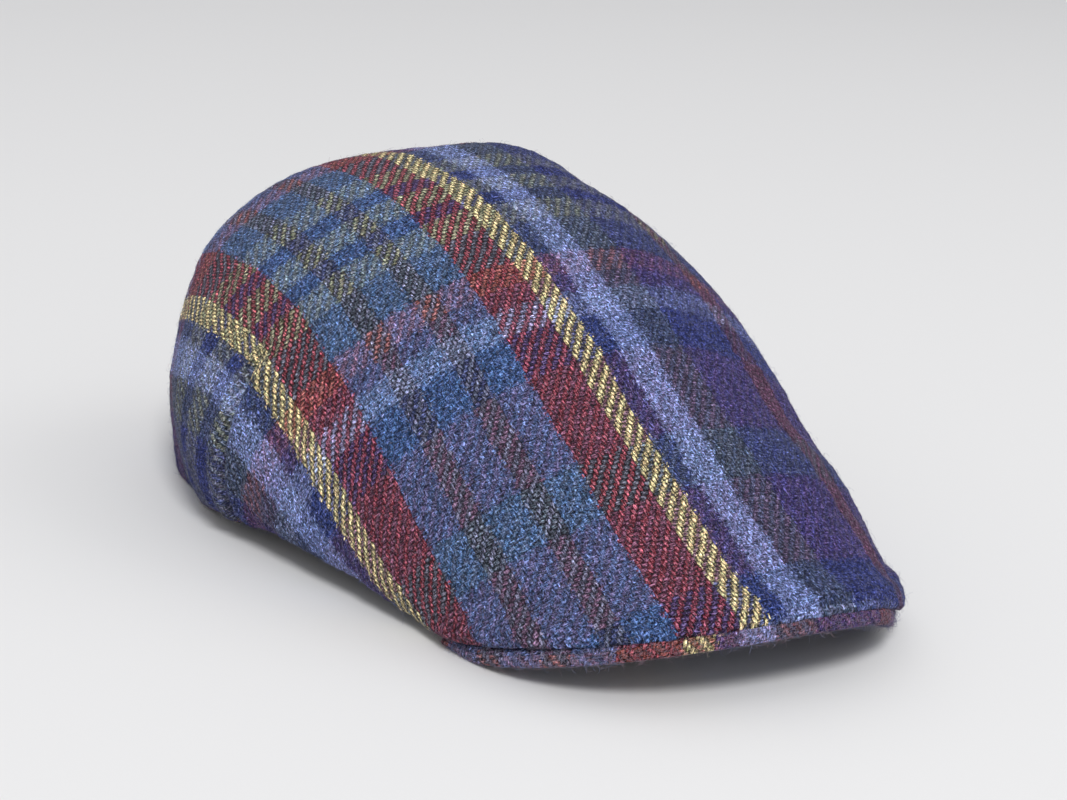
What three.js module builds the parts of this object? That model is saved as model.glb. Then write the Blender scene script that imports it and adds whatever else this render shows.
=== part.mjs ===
// Duckbill flat cap in wool tweed: a one-piece crown sewn along its front to a stiff peak.
// Millimetres. +Z is up, -Y is the front (the peak), +X is the wearer's left.
// The origin is the centre of the cap's bounding box at its underside, so z = 0 is what it lies on.

import * as THREE from "three";

// ---- driving dimensions ----
const WALL = 2.4; // tweed with its turned edges, crown wall
const SEAM_GAP = 0.3; // crown's front edge to the peak
const PEAK_EDGE = 5.2; // peak's height at its rounded front edge
const PEAK_INNER = 3.0; // peak's thickness at the forehead
const PEAK_INNER_WIDTH = 66; // half width of the peak's inner edge
const PEAK_INNER_TIP_Y = -70.5; // inner edge at the tips
const PEAK_INNER_MID_Y = -84; // inner edge in the middle
const PEAK_INNER_RISE = 7; // inner edge above the front edge, in the middle
const PEAK_SHELF = 6; // the peak stays level this far in, under the crown's edge
const PEAK_SHELF_SHARE = 0.6; // and at most this share of its depth, near the tips
const PEAK_TIP = 0.975; // share of the half outline at which the peak's tips are cut off
const MIN_LEAN = 0.4; // steepest mitre of the crown's edge, as the sine of its slope

// ---- mesh counts ----
const ROWS = 32; // crown, front to back
const COLUMNS = 40; // crown, right rim to left rim
const FINE = 240; // points used to measure lengths along a curve

const QUARTER = Math.PI / 2;

// Sections of the crown. Each is an arch from the right rim over the ridge to the left rim.
// at: 0 is the front seam and 1 is the back of the rim. The ridge is the arch's top point,
// and rim the foot on the left (the right foot mirrors it). square and arch say how full the
// arch is seen from above and from the front (2 is an ellipse). bulge swells the sides out.
const SECTIONS = [
  { at: 0.0, ridgeY: -138.6, ridgeZ: 22.5, rimX: 72.0, rimY: -68.6, rimZ: 2.0, square: 2.4, arch: 1.75, bulge: 0.0 },
  { at: 0.15, ridgeY: -85.6, ridgeZ: 51.0, rimX: 78.5, rimY: -35.6, rimZ: 6.3, square: 2.37, arch: 2.0, bulge: 0.05 },
  { at: 0.35, ridgeY: -23.6, ridgeZ: 86.0, rimX: 85.0, rimY: 1.9, rimZ: 6.6, square: 2.27, arch: 2.3, bulge: 0.105 },
  { at: 0.6, ridgeY: 61.4, ridgeZ: 105.5, rimX: 89.0, rimY: 33.4, rimZ: 3.5, square: 2.47, arch: 2.6, bulge: 0.135 },
  { at: 0.8, ridgeY: 120.4, ridgeZ: 88.0, rimX: 87.5, rimY: 52.4, rimZ: 0.0, square: 2.67, arch: 2.65, bulge: 0.06 },
  { at: 0.91, ridgeY: 138.4, ridgeZ: 50.0, rimX: 86.5, rimY: 59.4, rimZ: 0.0, square: 2.5, arch: 2.47, bulge: 0.025 },
  { at: 1.0, ridgeY: 133.4, ridgeZ: 0.0, rimX: 86.0, rimY: 63.4, rimZ: 0.0, square: 2.3, arch: 2.3, bulge: 0.0 },
];
const BULGE_HIGH = 0.6; // where on the arch the bulge is fullest
const BULGE_GAIN = 4;

// Local puffs and dents of the soft crown. along and across are the place (across: -1 right rim,
// +1 left rim), spans are how far they spread, and move is the shift of the cloth there.
const PUFFS = [
  { name: "left top shoulder", along: 0.62, across: 0.32, spanAlong: 0.16, spanAcross: 0.28, move: [-1, 2, 4.5] },
  { name: "left front corner", along: 0.0, across: 0.5, spanAlong: 0.08, spanAcross: 0.28, move: [-2, 1, -3.5] },
  { name: "left front hollow", along: 0.24, across: 0.34, spanAlong: 0.1, spanAcross: 0.22, move: [-1, 1, -1.5] },
  { name: "top of the ridge", along: 0.5, across: 0.05, spanAlong: 0.12, spanAcross: 0.3, move: [0, 0, 2] },
];
const FADE_BACK = 0.1; // puffs die out over this last share of the crown, at the back rim
const FADE_SIDE = 0.15; // and over this lowest share of the arch, at the side rims

// A smooth curve through the sections' values of one column, straight beyond its ends.
function columnCurve(column) {
  const at = SECTIONS.map((row) => row.at);
  const value = SECTIONS.map((row) => row[column]);
  const last = at.length - 1;
  const bend = new Array(at.length).fill(0);
  const upper = new Array(at.length).fill(0);
  const right = new Array(at.length).fill(0);
  for (let i = 1; i < last; i += 1) {
    const before = at[i] - at[i - 1];
    const after = at[i + 1] - at[i];
    const slopeBefore = (value[i] - value[i - 1]) / before;
    const slopeAfter = (value[i + 1] - value[i]) / after;
    const pivot = 2 * (before + after) - before * upper[i - 1];
    upper[i] = after / pivot;
    right[i] = (6 * (slopeAfter - slopeBefore) - before * right[i - 1]) / pivot;
  }
  for (let i = last - 1; i > 0; i -= 1) {
    bend[i] = right[i] - upper[i] * bend[i + 1];
  }
  return (s) => {
    let k = 0;
    while (k < last - 1 && s > at[k + 1]) k += 1;
    const step = at[k + 1] - at[k];
    const a = (at[k + 1] - s) / step;
    const b = (s - at[k]) / step;
    const sag = ((a ** 3 - a) * bend[k] + (b ** 3 - b) * bend[k + 1]) * (step ** 2 / 6);
    return a * value[k] + b * value[k + 1] + sag;
  };
}

const curves = {
  ridgeY: columnCurve("ridgeY"),
  ridgeZ: columnCurve("ridgeZ"),
  rimX: columnCurve("rimX"),
  rimY: columnCurve("rimY"),
  rimZ: columnCurve("rimZ"),
  square: columnCurve("square"),
  arch: columnCurve("arch"),
  bulge: columnCurve("bulge"),
};

// Outside of the crown: s runs from the front seam to the back rim, t from -1 to +1 across.
function crownPoint(s, t) {
  const sine = Math.sin(t * QUARTER);
  const cosine = Math.max(Math.cos(t * QUARTER), 0);
  const flat = 2 / curves.square(s);
  const tall = 2 / curves.arch(s);
  const forward = cosine ** flat;
  const upward = cosine ** tall;
  let out = Math.sign(sine) * Math.abs(sine) ** flat;
  const high = forward ** BULGE_HIGH;
  out *= 1 + curves.bulge(s) * BULGE_GAIN * high * (1 - high) * Math.abs(out);
  const rimY = curves.rimY(s);
  const rimZ = Math.max(curves.rimZ(s), 0);
  const point = new THREE.Vector3(
    curves.rimX(s) * out,
    rimY + (curves.ridgeY(s) - rimY) * forward,
    rimZ + (Math.max(curves.ridgeZ(s), 0) - rimZ) * upward,
  );
  const fade = Math.min(1, (1 - s) / FADE_BACK) * Math.min(1, upward / FADE_SIDE);
  for (const puff of PUFFS) {
    const along = (s - puff.along) / puff.spanAlong;
    const across = (t - puff.across) / puff.spanAcross;
    const share = fade * Math.exp(-along * along - across * across);
    point.add(new THREE.Vector3(...puff.move).multiplyScalar(share));
  }
  point.z = Math.max(point.z, 0);
  return point;
}

// The parameters that cut a curve into equal lengths.
function equalSteps(curve, from, to, count) {
  const lengths = [0];
  let before = curve(from);
  for (let i = 1; i <= FINE; i += 1) {
    const here = curve(from + ((to - from) * i) / FINE);
    lengths.push(lengths[i - 1] + here.distanceTo(before));
    before = here;
  }
  const steps = [];
  let k = 0;
  for (let i = 0; i <= count; i += 1) {
    const wanted = (lengths[FINE] * i) / count;
    while (k < FINE - 1 && lengths[k + 1] < wanted) k += 1;
    const share = (wanted - lengths[k]) / (lengths[k + 1] - lengths[k]);
    steps.push(from + ((to - from) * (k + share)) / FINE);
  }
  steps[count] = to;
  return steps;
}

function meshFrom(name, points, faces, material) {
  const geometry = new THREE.BufferGeometry();
  const flat = [];
  for (const point of points) {
    flat.push(point.x, point.y, point.z);
  }
  geometry.setAttribute("position", new THREE.Float32BufferAttribute(flat, 3));
  geometry.setIndex(faces.flat());
  geometry.computeVertexNormals();
  const mesh = new THREE.Mesh(geometry, material);
  mesh.name = name;
  return mesh;
}

// Averaged outward normals of a grid of points.
function gridNormals(points, faces) {
  const normals = points.map(() => new THREE.Vector3());
  for (const [a, b, c] of faces) {
    const ab = points[b].clone().sub(points[a]);
    const ac = points[c].clone().sub(points[a]);
    const turn = ab.cross(ac);
    normals[a].add(turn);
    normals[b].add(turn);
    normals[c].add(turn);
  }
  return normals.map((normal) => normal.normalize());
}

// ---- crown ----
const wide = COLUMNS + 1;
const rows = equalSteps((s) => crownPoint(s, 0), 0, 1, ROWS);
const rowColumns = rows.map((s) => equalSteps((t) => crownPoint(s, t), -1, 1, COLUMNS));

function crownSkin() {
  const outer = [];
  rows.forEach((s, i) => {
    for (const t of rowColumns[i]) {
      outer.push(crownPoint(s, t));
    }
  });
  const skin = [];
  for (let i = 0; i < ROWS; i += 1) {
    for (let j = 0; j < COLUMNS; j += 1) {
      const a = i * wide + j;
      const b = a + 1;
      const c = a + wide + 1;
      const d = a + wide;
      // Each quadrant's diagonals point at its own corner, so the back corners of the rim stay open.
      const towardsA = i < ROWS / 2 === j < COLUMNS / 2;
      if (towardsA) {
        skin.push([a, b, c], [a, c, d]);
      } else {
        skin.push([a, b, d], [b, c, d]);
      }
    }
  }
  return { outer, skin, normals: gridNormals(outer, skin) };
}

function buildCrown({ outer, skin, normals }, material) {
  const inner = outer.map((point, index) => {
    const i = Math.floor(index / wide);
    const j = index % wide;
    const normal = normals[index];
    const onEdge = i === 0 || i === ROWS || j === 0 || j === COLUMNS;
    if (!onEdge) {
      return point.clone().addScaledVector(normal, -WALL);
    }
    // The edge is cut level, as deep as the wall is thick when measured square to it.
    const level = new THREE.Vector3(normal.x, normal.y, 0);
    const lean = Math.max(level.length(), MIN_LEAN);
    return point.clone().addScaledVector(level.normalize(), -WALL / lean);
  });
  const count = outer.length;
  const faces = [...skin];
  for (const [a, b, c] of skin) {
    faces.push([a + count, c + count, b + count]);
  }
  const edge = [];
  for (let j = 0; j < COLUMNS; j += 1) edge.push(j);
  for (let i = 0; i < ROWS; i += 1) edge.push(i * wide + COLUMNS);
  for (let j = COLUMNS; j > 0; j -= 1) edge.push(ROWS * wide + j);
  for (let i = ROWS; i > 0; i -= 1) edge.push(i * wide);
  edge.forEach((a, k) => {
    const b = edge[(k + 1) % edge.length];
    faces.push([b, a, a + count], [b, a + count, b + count]);
  });
  return meshFrom("crown", [...outer, ...inner], faces, material);
}

// ---- peak ----
// Cross-section from the forehead out along the top, round the front edge and back underneath.
// inward is the distance in from the front edge, drop the depth below the top there.
const NOSE = [
  { inward: 1.8, drop: 0.0 },
  { inward: 0.8, drop: 0.4 },
  { inward: 0.25, drop: 1.3 },
  { inward: 0.1, drop: 2.6 },
  { inward: 0.3, drop: 3.9 },
  { inward: 0.9, drop: 4.8 },
  { inward: 2.0, drop: PEAK_EDGE },
];
const PEAK_MIDDLE_SHARE = 0.5; // a mid point on the top and underside, as a share of the depth

function buildPeak({ normals }, material) {
  const stations = [...rowColumns[0]];
  stations[0] = -PEAK_TIP;
  stations[COLUMNS] = PEAK_TIP;
  const points = [];
  const loop = NOSE.length + 6;
  stations.forEach((t, j) => {
    const front = crownPoint(0, t);
    const edgeIn = new THREE.Vector3(-normals[j].x, -normals[j].y, 0).normalize();
    const sine = Math.sin(t * QUARTER);
    const cosine = Math.cos(t * QUARTER);
    const flat = 2 / curves.square(0);
    const inner = new THREE.Vector3(
      PEAK_INNER_WIDTH * Math.sign(sine) * Math.abs(sine) ** flat,
      PEAK_INNER_TIP_Y + (PEAK_INNER_MID_Y - PEAK_INNER_TIP_Y) * cosine ** flat,
      front.z,
    );
    const depth = inner.distanceTo(front);
    const shelf = Math.min(PEAK_SHELF, depth * PEAK_SHELF_SHARE);
    const top = front.z - SEAM_GAP;
    const squash = Math.min(top / PEAK_EDGE, 1);
    const edgePoint = (inward, drop) => {
      const point = front.clone().addScaledVector(edgeIn, inward);
      point.z = Math.max(top - drop * squash, 0);
      return point;
    };
    const shelfPoint = edgePoint(shelf, 0);
    const innerPoint = (share, drop) => {
      const point = shelfPoint.clone().lerp(inner, share);
      point.z = Math.max(top + PEAK_INNER_RISE * cosine * share - drop * squash, 0);
      return point;
    };
    const middleDrop = (PEAK_EDGE + PEAK_INNER) / 2;
    points.push(innerPoint(1, 0));
    points.push(innerPoint(PEAK_MIDDLE_SHARE, 0));
    points.push(shelfPoint);
    for (const row of NOSE) {
      points.push(edgePoint(row.inward, row.drop));
    }
    points.push(edgePoint(shelf, PEAK_EDGE));
    points.push(innerPoint(PEAK_MIDDLE_SHARE, middleDrop));
    points.push(innerPoint(1, PEAK_INNER));
  });
  const faces = [];
  for (let i = 0; i < COLUMNS; i += 1) {
    for (let j = 0; j < loop; j += 1) {
      const a = i * loop + j;
      const b = i * loop + ((j + 1) % loop);
      faces.push([a, b, a + loop], [b, b + loop, a + loop]);
    }
  }
  // The tips: a level fan across each end's cross-section.
  const last = COLUMNS * loop;
  for (let j = 0; j < loop / 2 - 1; j += 1) {
    const up = j;
    const low = loop - 1 - j;
    if (low - 1 > up + 1) {
      faces.push([up, low, up + 1], [up + 1, low, low - 1]);
      faces.push([last + up, last + up + 1, last + low], [last + up + 1, last + low - 1, last + low]);
    } else if (low - 1 === up + 1) {
      faces.push([up, low, up + 1]);
      faces.push([last + up, last + up + 1, last + low]);
    }
  }
  return meshFrom("peak", points, faces, material);
}

const tweed = new THREE.MeshStandardMaterial({ color: 0x4a4c78, roughness: 0.95, metalness: 0 });
tweed.name = "tweed";

const cap = new THREE.Group();
cap.name = "cap";
const skin = crownSkin();
cap.add(buildCrown(skin, tweed));
cap.add(buildPeak(skin, tweed));

export default cap;
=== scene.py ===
"""Duckbill flat cap in plaid wool tweed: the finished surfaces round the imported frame.

The crown and the peak are meshed finely over the frame's solids. The crown's cloth is
flattened with its darts cut open, so that each point knows its place on the cloth, and
one twill material draws every end and pick of the plaid from there.
Lengths are millimetres until they go into Blender, which works in metres.
"""

import math
from collections import namedtuple
from functools import partialmethod

import bpy
import numpy as np
from mathutils import Matrix, Vector


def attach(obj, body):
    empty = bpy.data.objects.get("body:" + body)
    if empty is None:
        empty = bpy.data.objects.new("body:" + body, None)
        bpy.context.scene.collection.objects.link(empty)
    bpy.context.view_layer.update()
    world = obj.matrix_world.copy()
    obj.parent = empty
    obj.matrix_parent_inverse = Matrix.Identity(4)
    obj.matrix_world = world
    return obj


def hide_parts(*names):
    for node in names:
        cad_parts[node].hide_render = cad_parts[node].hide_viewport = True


MM = 0.001
BODY = "root"
SEED = 26

# ---- the crown's shape ----
# Sections across the crown, from the front seam (at 0) to the back rim (at 1). The ridge is
# an arch's top and the rim its foot. square and arch say how full the arch is from above and
# from the front, and bulge swells its sides.
SECTION_COLUMNS = ("at", "ridge_y", "ridge_z", "rim_x", "rim_y", "rim_z", "square", "arch", "bulge")
SECTIONS = np.array([
    (0.00, -138.6, 22.5, 72.0, -68.6, 2.0, 2.40, 1.75, 0.000),
    (0.15, -85.6, 51.0, 78.5, -35.6, 6.3, 2.37, 2.00, 0.050),
    (0.35, -23.6, 86.0, 85.0, 1.9, 6.6, 2.27, 2.30, 0.105),
    (0.60, 61.4, 105.5, 89.0, 33.4, 3.5, 2.47, 2.60, 0.135),
    (0.80, 120.4, 88.0, 87.5, 52.4, 0.0, 2.67, 2.65, 0.060),
    (0.91, 138.4, 50.0, 86.5, 59.4, 0.0, 2.50, 2.47, 0.025),
    (1.00, 133.4, 0.0, 86.0, 63.4, 0.0, 2.30, 2.30, 0.000),
])
BULGE_HIGH = 0.6  # where on the arch the bulge is fullest
BULGE_GAIN = 4
# Puffs and dents: place along and across, spread along and across, and shift of the cloth.
PUFFS = (
    (0.62, 0.32, 0.16, 0.28, (-1, 2, 4.5)),
    (0.00, 0.50, 0.08, 0.28, (-2, 1, -3.5)),
    (0.24, 0.34, 0.10, 0.22, (-1, 1, -1.5)),
    (0.50, 0.05, 0.12, 0.30, (0, 0, 2)),
    (0.00, 0.50, 0.06, 0.14, (0, 0, -2)),
)
# Smaller ones, straight out of the cloth: centre, spread and height.
SWELLS = (
    ((24, 78, 106), 20, 2.4),
    ((49, 52, 100), 17, -2.3),
    ((66, 20, 81), 18, -0.8),
    ((70, -50, 40), 30, -1.2),
    ((-83, 95, 42), 26, -1.4),
)
FADE_BACK = 0.1  # the puffs fade out this near the back rim
FADE_SIDE = 0.15  # and this near the side rims
WALL = 2.4  # from skin to skin

# ---- the crown's mesh ----
ROWS, COLUMNS = 75, 99  # coarse cells, on which the cloth is flattened
FINER = 2  # mesh cells to a coarse cell, each way
EDGE_SPLIT = 4  # a cell at an edge or beside a dart is split in so many
FINE = 400  # points used to measure a curve

# ---- seams and darts ----
DART_ROW = 35  # coarse row of the side darts
DART_DEPTH = 19  # how many coarse columns they reach in from the rims
BACK_DART_COLUMN = 36  # coarse column of the back darts, and its mirror image
BACK_DART_DEPTH = 15  # how many coarse rows they reach up from the rim
DART_TIP = 0.25  # share of a dart's length over which its fold runs out
DART_FOLD = 1.5  # depth of a dart's sewn line
DART_FOLD_WIDTH = 1.7
DART_PUFF = 1.2  # the cloth stands up beside it
DART_PUFF_AWAY = 4.5
DART_PUFF_WIDTH = 3.2
DART_JOG = 4.5  # how far a side dart shifts the plaid behind it
DART_JOG_LENGTH = 45  # and how soon that is gone
SEAM_PUFF = 2.0  # the crown's cloth over the front seam
SEAM_PUFF_AWAY = 6.0
SEAM_PUFF_WIDTH = 5.0
SEAM_PUFF_TIPS = 0.12  # and it runs out this near the seam's ends
# Unevenness of the soft cloth: how many waves, how high and between which lengths.
SLOW_WAVES = (18, 0.1, 9, 60)
SHORT_WAVES = (30, 0.035, 3.5, 8)
SLOW_WAVES_FROM = 12  # they grow to full this far behind the seam

# ---- the cloth ----
END_PITCH = 1.03  # warp
PICK_PITCH = 1.40  # weft
# Where the plaid lies on the crown: the blue group's centre from the ridge, how that drifts
# towards the back, and how the ends fan out at the front.
CLOTH_CENTRE = -59.2
CLOTH_DRIFT = 2.1
CLOTH_DRIFT_FROM = 0.3
CLOTH_FAN = 10.0
CLOTH_FAN_REACH = 0.3
# How far the picks bow and lean at CLOTH_FAR from the ridge: polynomials in the place along
# the crown, from CLOTH_MIDDLE.
CLOTH_FAR = 100
CLOTH_MIDDLE = 0.5
CLOTH_BOW = (12.3, 53.1, -45.6)
CLOTH_SKEW = (4.8, -8.4)
PULL = 1.5e-3  # how firmly the flattened cloth is held to that, for each square millimetre
# The front and the right side are held, and the rest finds its own way: where the hold begins
# to give towards the back and the left, how soon it is gone, and what is left of it.
HOLD_BACK, HOLD_BACK_FADE = 0.5, 0.15
HOLD_LEFT, HOLD_LEFT_FADE = 0.55, 0.2
HOLD_LEAST = 1e-3
UNFOLD_ROUNDS = 30
SOLVE_STEPS = 300
SOLVE_CLOSE = 1e-9
COTANGENTS = (0.02, 20)  # the limits put on those of a triangle
# Setts: each half repeat's bands of colour, by where they end, turned back at both ends.
WARP_HALF = 112
WARP = ((5.3, "blue"), (12.2, "soot"), (23.5, "blue"), (39, "red"), (47, "yellow"),
        (53.5, "navy"), (65, "lavender"), (78, "slate"), (106, "indigo"), (112, "wine"))
WEFT_PIVOT = 189.5
WEFT_HALF = 130
WEFT = ((5.3, "straw"), (13.5, "ink"), (25.5, "straw"), (43.5, "teal"), (53.5, "brick"),
        (61, "mauve"), (72, "mist"), (88, "ink"), (120, "mauve"), (130, "teal"))
# Each yarn's colour in sRGB, and how crisply its floats stand out of the nap.
YARNS = {
    "blue": (69, 103, 154, 0.3), "soot": (82, 86, 106, 0.8), "red": (120, 46, 53, 0.85),
    "wine": (77, 34, 63, 0.5), "yellow": (192, 177, 130, 1.0), "navy": (33, 53, 117, 0.25),
    "indigo": (27, 40, 110, 0.2), "lavender": (124, 140, 195, 0.25), "slate": (56, 69, 99, 0.45),
    "mauve": (90, 54, 76, 0.7), "teal": (69, 77, 88, 1.0), "ink": (36, 46, 92, 0.75),
    "mist": (122, 130, 165, 0.75), "brick": (132, 74, 64, 0.8), "straw": (122, 124, 98, 1.0),
}

# ---- the peak ----
SEAM_GAP = 0.3
PEAK_EDGE = 5.2  # its thickness at the front edge
PEAK_INNER = 3.0  # and at the inner edge
PEAK_INNER_WIDTH = 66
PEAK_INNER_TIP_Y = -70.5
PEAK_INNER_MID_Y = -84
PEAK_INNER_RISE = 7
PEAK_SHELF = 6  # it stays thick this far in
PEAK_SHELF_SHARE = 0.6  # or for this share of its depth, where it is narrow
PEAK_TIP = 0.975  # how much of the seam it takes, each side
PEAK_TUCK = 2.5  # the crown overhangs it at one corner
PEAK_TUCK_AT = 0.55
PEAK_TUCK_WIDTH = 0.2
PEAK_STATIONS = 200
PEAK_SHARES = (0.2, 0.4, 0.6, 0.8, 1)  # of the way from the shelf to the inner edge
PEAK_NOSE = 14  # points round the front edge
NOSE_SET = 0.1  # how far the front edge lies inside the crown's
NOSE_DEPTH = 1.9  # how far its rounding reaches in
NOSE_BLUNT, NOSE_ROUND = 0.8, 0.62  # powers that shape it
PEAK_MIDDLE = 13  # the point of a section at the middle of its front edge
PEAK_FIBRES = slice(8, 20)  # the points of a section that fibres stand on
PEAK_CLOTH_SHIFT = 14  # its plaid against the crown's
PEAK_CLOTH_EDGE = 141  # the place on the cloth of its front edge
PEAK_CLOTH_LEAN = 0.06  # and how that changes along the peak

# ---- loose fibres ----
# Their number on each part, stations along them, and least and most length and lift. The
# higher lying is, the more of them lie flat. curl is for each millimetre of length.
FIBRES = {
    "fuzz": {"crown": 8000, "peak": 1200, "stations": 4, "length": (1.6, 5),
             "lift": (0.12, 1.7), "lying": 4, "curl": 0.16, "radius": 0.037},
    "nap": {"crown": 45000, "peak": 3500, "stations": 1, "length": (0.6, 1.6),
            "lift": (0.1, 1.1), "lying": 1.2, "curl": 0, "radius": 0.07},
}
FIBRE_SIDES = 3
FIBRE_ROOT = 0.08  # how deep it is set in the cloth
FIBRE_ARC = 2.4  # radians of its rise, so that its tip comes down again
FIBRE_SWING = (0.5, 1.6)  # half turns of its curl
FIBRE_TAPER = 0.5
FIBRE_ENDS = 0.6  # share of them that come from the warp
FIBRE_HIGHLIGHT = 0.35  # how much paler than its yarn a loose fibre is painted, as a highlight for the light it catches
FIBRE_HIGHLIGHT_COLOUR, FIBRE_ROUGH = (190, 190, 215), 0.8

# ---- the wool, as its material draws it ----
# Noises on the cloth: cells to a millimetre across and along, the layer of the noise (each
# has its own, so no two are alike), detail, roughness and twist.
NOISES = {
    "end_drift": (0.05, 0.05, 3.1, 2, 0.5, 0.0),
    "pick_drift": (0.05, 0.05, 7.7, 2, 0.5, 0.0),
    "end_jitter": (0.7, 0.5, 1.3, 2, 0.5, 0.0),
    "pick_jitter": (0.5, 0.7, 5.9, 2, 0.5, 0.0),
    "nap": (0.8, 0.8, 11.5, 3, 0.7, 0.0),
    "fray": (1.6, 1.1, 8.8, 2, 0.5, 0.0),
    "warp_fibre": (1.9, 0.7, 2.2, 4, 0.6, 0.8),
    "weft_fibre": (0.7, 1.9, 4.4, 4, 0.6, 0.8),
    "pit": (1.5, 1.5, 6.1, 3, 0.6, 0.5),
    "cloud": (0.6, 0.6, 15.2, 3, 0.6, 0.0),
    "heather": (1.3, 1.3, 12.6, 2, 0.5, 0.0),
    "hair": (0.9, 0.9, 9.3, 2, 0.6, 1.5),
}
# Soft yarns wander, in millimetres: slowly with the cloth, and quickly by themselves.
END_DRIFT, PICK_DRIFT = 2.4, 3.0
END_JITTER, PICK_JITTER = 0.7, 0.9
# The twill: over two and under two, and one yarn further on each time.
TWILL_REPEAT = 4
WARP_SHIFT, WEFT_SHIFT = 1, -2  # warp floats are up where weft floats are down
FLOAT_RISE = 0.6  # how far a float rises at its middle
YARN_RISE = 0.5  # and how far a yarn rises between its sides
NAP_REACH = 13  # how far the nap carries a soft yarn's colour over its neighbours
NAP_HEIGHT = 0.75  # height of the cloth where the nap hides its weave
NAP_LIGHT = 0.72
THICK_CRISP = (0.88, 0.98)  # a warp yarn this crisp is thick, and covers the weft
THICK_SHOWS = 0.9  # least crispness where a thick yarn lies
THICK_LEAD = 0.5
WARP_LEAD = 0.1  # the warp stands a little higher than the weft
FLOAT_EDGE = 0.3  # softness of a float's outline
FRAY = 1.2
# Where the nap lies ends and picks mingle: the warp's share, how ragged it is, and how much
# more the ends hide on the plain side of the sett, past PLAIN_SIDE.
MINGLE = 0.57
MINGLE_FRAY = 0.6
PLAIN_SIDE = (52, 58)
PLAIN_LEAD = 0.15
# Strands and fibres run along each yarn, with painted highlights on the fibres and painted shade
# between the strands, and each float is painted its own shade, for the light it catches.
WARP_STRANDS, WEFT_STRANDS = 1.5, 2
STRAND_LEAN = 1.2
STRAND_LIGHT = 0.03
WOOL_CONTRAST = 14000
THICK_EVENNESS = 13600  # how much of that contrast a thick yarn lacks
FLOAT_SHADES = 0.4
FLOAT_DARKEST = 0.7
WARP_DICE, WEFT_DICE = 0.5, 8.5
# Painted shade on the weft, which lies below the warp where the weave is crisp.
LOW_WEFT_SHADE = 0.2
# Painted shade darkens low places and pits: from and to which height and noise, and how light they
# are painted.
GAP_SHADE_HEIGHTS, GAP_SHADE_LIGHT, GAP_SHADE_LEAST = (0.35, 1.15), 1.5, 0.02
PIT_SHADE_DEPTHS, PIT_SHADE_LIGHT, PIT_SHADE_LEAST = (0.33, 0.62), 1.25, 0.28
CLOUD = 2.2
SHADE_POWER = 1.25
HEATHER = (0.7, -0.3, -0.1)  # lean of red, green and blue in the mottled dye
# The fibres that catch the light are paler, and fine pale hairs lie over the yarns.
HIGHLIGHT_AND_HAIR_COLOUR = (175, 175, 200)
HIGHLIGHT_FROM, HIGHLIGHT_GAIN, HIGHLIGHT_MOST = 1.3, 0.1, 0.25
HAIR_RIDGE, HAIR_PALE = (0.92, 1.0), 0.1
WOOL_ROUGH = 0.92
WOOL_SPECULAR = 0.1
SHEEN, SHEEN_ROUGH, SHEEN_COLOUR = 0.06, 0.45, (200, 200, 235)
RELIEF_DEPTH, RELIEF_PIT, RELIEF_LIGHT = 0.35, 1.2, 0.12

# ---- the stage and the lights, in metres and watts ----
FLOOR_RADIUS = 4
FLOOR_SIDES = 96
FLOOR_COLOUR, FLOOR_ROUGH = (226, 226, 226), 0.9
SKY_COLOUR, SKY_LIGHT = (232, 232, 234), 0.75
# Name, azimuth, elevation, distance, size and power.
LIGHTS = (
    ("key", -24, 50, 4, 1.2, 88),
    ("fill", 70, 40, 4, 2.5, 20),
)
LIGHT_AIM = (0, 0, 0.04)

# ---- the camera ----
AZIMUTH = -32.69
ELEVATION = 16.33
ROLL = 4.44
DISTANCE = 658.1
FOCAL = 70.66
SENSOR = 36
AIM = (0, 2.4, 41.475)
AIM_RIGHT = 0.375
CLIP = (0.01, 50)  # metres


def spline_bends(at, values):
    """Second derivatives of the natural cubic through the values."""
    count = len(at)
    step = np.diff(at)
    left = np.eye(count)
    right = np.zeros(count)
    for i in range(1, count - 1):
        left[i, i - 1: i + 2] = step[i - 1], 2 * (step[i - 1] + step[i]), step[i]
        slope = (values[i + 1] - values[i]) / step[i] - (values[i] - values[i - 1]) / step[i - 1]
        right[i] = 6 * slope
    return np.linalg.solve(left, right)


BENDS = {name: spline_bends(SECTIONS[:, 0], SECTIONS[:, i])
         for i, name in enumerate(SECTION_COLUMNS)}


def section(name, s):
    """A section's value at s, by the natural cubic through the table."""
    at = SECTIONS[:, 0]
    value = SECTIONS[:, SECTION_COLUMNS.index(name)]
    bend = BENDS[name]
    k = np.clip(np.searchsorted(at, s, side="left") - 1, 0, len(at) - 2)
    step = at[k + 1] - at[k]
    a = (at[k + 1] - s) / step
    b = (s - at[k]) / step
    sag = ((a**3 - a) * bend[k] + (b**3 - b) * bend[k + 1]) * step**2 / 6
    return a * value[k] + b * value[k + 1] + sag


def signed_power(x, power):
    return np.sign(x) * np.abs(x)**power


def bump(x, width):
    return np.exp(-(x / width)**2)


def unit(vectors):
    return vectors / np.maximum(np.linalg.norm(vectors, axis=-1, keepdims=True), 1e-9)


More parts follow.
